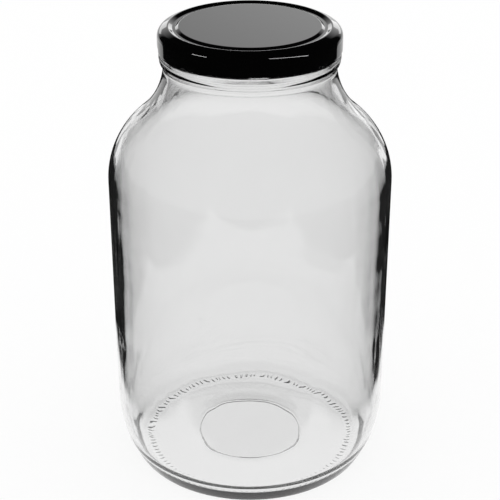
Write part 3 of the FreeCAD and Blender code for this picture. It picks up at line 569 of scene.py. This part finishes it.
def buildLid():
    below, turned, above = lidOutline()
    rows = joinRows(below, turned, above)
    angles = [i * 2 * math.pi / lid["segments"] for i in range(lid["segments"])]
    mesh, rowOf = latheMesh("lidShell", rows, angles)
    radii = np.array([r for r, z in rows])
    heights = np.array([z for r, z in rows])
    low = lid["rimHeight"] - lid["lidDrop"]
    curl = np.clip(1 - (heights - low - 1.0) / 2.4, 0, 1) * (radii > 45)
    curl = curl * curl * (3 - 2 * curl)
    lug = np.where((radii < lid["outside"] - 1.3) & (radii > 45) & (heights < low + 2.4),
                   np.clip((lid["outside"] - 1.2 - radii) / 1.0, 0, 1), 0.0)
    setAttribute(mesh, "curl", curl[rowOf])
    setAttribute(mesh, "lug", lug[rowOf])
    piece = applyTree(mesh, "lidShell", pressedLugTree(), {
        "Lugs": float(lid["lugs"]), "First Lug": math.radians(lid["firstLug"]), "Lug Arc": math.radians(lid["lugArc"]),
        "Press": lid["lugPress"] / 1000, "Lift": lid["lugLift"] / 1000,
        "Reach": (lid["lugReach"] - lid["lugPress"]) / 1000, "Lacquer": lacqueredTinplate()})
    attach(piece, "root")
    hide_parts("lid")
    print("lid:", len(piece.data.vertices), "points")
    return piece


# white floor and backdrop; to reflected rays the floor paints dark sides and a dark mottle, and strip lights reach
# only the lid

studio = {
    "floorSize": 8.0, "paperHalf": 0.125, "paintedDarkEnd": 0.9, "dark": 0.012, "plainShare": 0.85,
    "withinLight": 0.7,     # the least that a reflection inside the glass sees
    "guidedDepth": 3.5,     # reflections after which light has run along inside the wall
    "spentDepth": 11.5, "spentLight": 2.0, "spentRise": 0.3,
    # size and lightness of the painted dark mottle that the floor shows to rays reflected many times inside the glass
    "paintedMottleScale": 60.0, "paintedMottleLight": 0.22,
    "strips": (  # from, to (degrees round from the front towards +X, degrees up), distance and width in metres, watts
        ((148.0, 7.5), (212.0, 7.5), 1.0, 0.17, 0.9),
        ((28.0, 49.0), (72.8, 13.3), 1.0, 0.045, 2.2),
        ((-77.2, 26.4), (-56.7, 29.9), 1.0, 0.035, 0.9),
        ((130.0, -21.0), (172.0, -21.0), 0.6, 0.14, 0.16),
        ((188.0, -21.0), (230.0, -21.0), 0.6, 0.14, 0.16),
    ),
}


def depthTest(tree, depth, limit, operation):
    return addNode(tree, "ShaderNodeMath", {0: depth, 1: limit}, operation=operation)


def buildStudio(lidPiece):
    world = bpy.data.worlds.new("studio")
    bpy.context.scene.world = world
    world.use_nodes = True
    tree = world.node_tree
    tree.nodes.clear()
    way = addNode(tree, "ShaderNodeTexCoord").outputs["Generated"]
    spot = addNode(tree, "ShaderNodeSeparateXYZ", {0: way})
    up = spot.outputs[2]
    back = addNode(tree, "ShaderNodeMapRange", {"Value": spot.outputs[1], "From Min": 0.78, "From Max": 0.92})
    low = addNode(tree, "ShaderNodeMapRange", {"Value": up, "From Min": 0.8, "From Max": 0.68})
    sweep = addNode(tree, "ShaderNodeMath", {0: back, 1: low}, operation="MULTIPLY")
    slant = addNode(tree, "ShaderNodeMapRange", {"Value": spot.outputs[0], "From Min": -0.07, "From Max": 0.07,
                                                 "To Min": 0.9, "To Max": 1.2})
    sweep = addNode(tree, "ShaderNodeMath", {0: sweep, 1: slant}, operation="MULTIPLY")
    sweep = addNode(tree, "ShaderNodeMath", {0: sweep, 1: studio["dark"]}, operation="MAXIMUM")
    path = addNode(tree, "ShaderNodeLightPath").outputs
    straight = depthTest(tree, path["Glossy Depth"], 0.5, "LESS_THAN")
    seen = addNode(tree, "ShaderNodeMath", {0: path["Is Transmission Ray"], 1: straight}, operation="MULTIPLY")
    seen = addNode(tree, "ShaderNodeMath", {0: seen, 1: path["Is Camera Ray"]}, operation="MAXIMUM")
    seen = addNode(tree, "ShaderNodeMath", {0: seen, 1: path["Is Diffuse Ray"]}, operation="MAXIMUM")
    guided = depthTest(tree, path["Glossy Depth"], studio["guidedDepth"], "GREATER_THAN")
    sweep = addNode(tree, "ShaderNodeMix", {"Factor": guided, "A": sweep, "B": studio["dark"]})
    spent = depthTest(tree, path["Glossy Depth"], studio["spentDepth"], "GREATER_THAN")
    steep = addNode(tree, "ShaderNodeMath", {0: up, 1: studio["spentRise"]}, operation="GREATER_THAN")
    spent = addNode(tree, "ShaderNodeMath", {0: spent, 1: steep}, operation="MULTIPLY")
    spent = addNode(tree, "ShaderNodeMath", {0: spent, 1: studio["spentLight"]}, operation="MULTIPLY")
    within = depthTest(tree, path["Transmission Depth"], 0.5, "GREATER_THAN")
    few = depthTest(tree, path["Glossy Depth"], studio["guidedDepth"], "LESS_THAN")
    within = addNode(tree, "ShaderNodeMath", {0: within, 1: few}, operation="MULTIPLY")
    within = addNode(tree, "ShaderNodeMath", {0: within, 1: studio["withinLight"]}, operation="MULTIPLY")
    sweep = addNode(tree, "ShaderNodeMath", {0: sweep, 1: within}, operation="MAXIMUM")
    strength = addNode(tree, "ShaderNodeMix", {"Factor": seen, "A": sweep, "B": 1.0})
    strength = addNode(tree, "ShaderNodeMath", {0: strength, 1: spent}, operation="MAXIMUM")
    light = addNode(tree, "ShaderNodeBackground", {"Color": linearColour("#ffffff"), "Strength": strength})
    addNode(tree, "ShaderNodeOutputWorld", {0: light})

    half = studio["floorSize"] / 2
    mesh = bpy.data.meshes.new("floor")
    mesh.from_pydata([(-half, -half, 0), (half, -half, 0), (half, half, 0), (-half, half, 0)], [], [(0, 1, 2, 3)])
    floor = bpy.data.objects.new("floor", mesh)
    bpy.context.scene.collection.objects.link(floor)
    material, tree = newMaterial("white floor paper")
    path = addNode(tree, "ShaderNodeLightPath").outputs
    paper = addNode(tree, "ShaderNodeBsdfDiffuse", {"Color": linearColour("#ffffff")})
    white = addNode(tree, "ShaderNodeEmission", {"Color": linearColour("#ffffff"), "Strength": 1.0})
    straight = depthTest(tree, path["Glossy Depth"], 0.5, "LESS_THAN")
    seen = addNode(tree, "ShaderNodeMath", {0: path["Is Transmission Ray"], 1: straight}, operation="MULTIPLY")
    share = addNode(tree, "ShaderNodeMix", {"Factor": path["Is Camera Ray"], "A": seen, "B": studio["plainShare"]})
    plain = addNode(tree, "ShaderNodeMixShader", {0: share, 1: paper, 2: white})
    place = addNode(tree, "ShaderNodeTexCoord").outputs["Object"]
    spot = addNode(tree, "ShaderNodeSeparateXYZ", {0: place})
    sides = [addNode(tree, "ShaderNodeMath", {0: spot.outputs[axis]}, operation="ABSOLUTE") for axis in (0, 1)]
    away = addNode(tree, "ShaderNodeMath", {0: sides[0], 1: sides[1]}, operation="MAXIMUM")
    # To reflected rays the floor is white only on the paper square round the jar and far behind it, and dark in a ring
    # between: painted dark reflections, while the camera sees the floor white.
    near = addNode(tree, "ShaderNodeMapRange", {"Value": away, "From Min": studio["paperHalf"] + 0.012,
                                                "From Max": studio["paperHalf"]})
    reach = addNode(tree, "ShaderNodeVectorMath", {0: place}, operation="LENGTH").outputs["Value"]
    far = addNode(tree, "ShaderNodeMapRange", {"Value": reach, "From Min": studio["paintedDarkEnd"] - 0.03,
                                               "From Max": studio["paintedDarkEnd"] + 0.05})
    ahead = addNode(tree, "ShaderNodeMath", {0: spot.outputs[1], 1: reach}, operation="DIVIDE")
    ahead = addNode(tree, "ShaderNodeMapRange", {"Value": ahead, "From Min": 0.62, "From Max": 0.74})
    far = addNode(tree, "ShaderNodeMath", {0: far, 1: ahead}, operation="MULTIPLY")
    lightness = addNode(tree, "ShaderNodeMath", {0: near, 1: far}, operation="MAXIMUM")
    lightness = addNode(tree, "ShaderNodeMath", {0: lightness, 1: studio["dark"]}, operation="MAXIMUM")
    mirrored = depthTest(tree, path["Glossy Depth"], 0.5, "GREATER_THAN")
    # After many reflections inside the glass, rays see the floor as a dark noise mottle: painted shade for the dark
    # edge bands in the glass.
    guided = depthTest(tree, path["Glossy Depth"], studio["guidedDepth"], "GREATER_THAN")
    paintedMottle = addNode(tree, "ShaderNodeTexNoise", {"Vector": place, "Scale": studio["paintedMottleScale"], "Detail": 2.0})
    paintedMottle = addNode(tree, "ShaderNodeMapRange", {"Value": paintedMottle, "From Min": 0.38, "From Max": 0.62,
                                                   "To Min": studio["dark"], "To Max": studio["paintedMottleLight"]})
    lightness = addNode(tree, "ShaderNodeMix", {"Factor": guided, "A": lightness, "B": paintedMottle})
    reflected = addNode(tree, "ShaderNodeEmission", {"Color": linearColour("#ffffff"), "Strength": lightness})
    surface = addNode(tree, "ShaderNodeMixShader", {0: mirrored, 1: plain, 2: reflected})
    addNode(tree, "ShaderNodeOutputMaterial", {0: surface})
    mesh.materials.append(material)

    lit = bpy.data.collections.new("litByStrips")
    lit.objects.link(lidPiece)
    middle = Vector((0, 0, lid["rimHeight"] / 1000))
    for number, (start, end, away, width, power) in enumerate(studio["strips"]):
        ends = [Vector((math.sin(math.radians(a)) * math.cos(math.radians(e)),
                        -math.cos(math.radians(a)) * math.cos(math.radians(e)), math.sin(math.radians(e)))) * away
                for a, e in (start, end)]
        lamp = bpy.data.lights.new(f"strip{number}", "AREA")
        lamp.shape = "RECTANGLE"
        lamp.size, lamp.size_y = (ends[1] - ends[0]).length, width
        lamp.energy = power
        holder = bpy.data.objects.new(f"strip{number}", lamp)
        centre = (ends[0] + ends[1]) / 2
        along = (ends[1] - ends[0]).normalized()
        towards = centre.normalized()
        across = towards.cross(along).normalized()
        turn = Matrix((along, across, along.cross(across))).transposed()
        if turn.col[2].dot(towards) < 0:
            turn = Matrix((along, -across, along.cross(-across))).transposed()
        holder.matrix_world = Matrix.Translation(middle + centre) @ turn.to_4x4()
        bpy.context.scene.collection.objects.link(holder)
        holder.light_linking.receiver_collection = lit
        holder.visible_camera = False
        holder.visible_transmission = False
    print("studio built")


view = {"lens": 97.72, "sensor": 36.0, "place": (0.0, -0.722, 0.5), "tilt": 62.955}


def placeCamera():
    lens = bpy.data.cameras.new("camera")
    lens.lens = view["lens"]
    lens.sensor_width = view["sensor"]
    lens.clip_start = 0.01
    camera = bpy.data.objects.new("camera", lens)
    camera.location = view["place"]
    camera.rotation_euler = (math.radians(view["tilt"]), 0, 0)
    bpy.context.scene.collection.objects.link(camera)
    bpy.context.scene.camera = camera


buildJar()
buildStudio(buildLid())
placeCamera()
bpy.context.scene.cycles.max_bounces = 48
bpy.context.scene.cycles.glossy_bounces = 24  # light runs far inside the base of the glass
bpy.context.scene.cycles.transmission_bounces = 32
bpy.context.scene.view_settings.view_transform = "Standard"
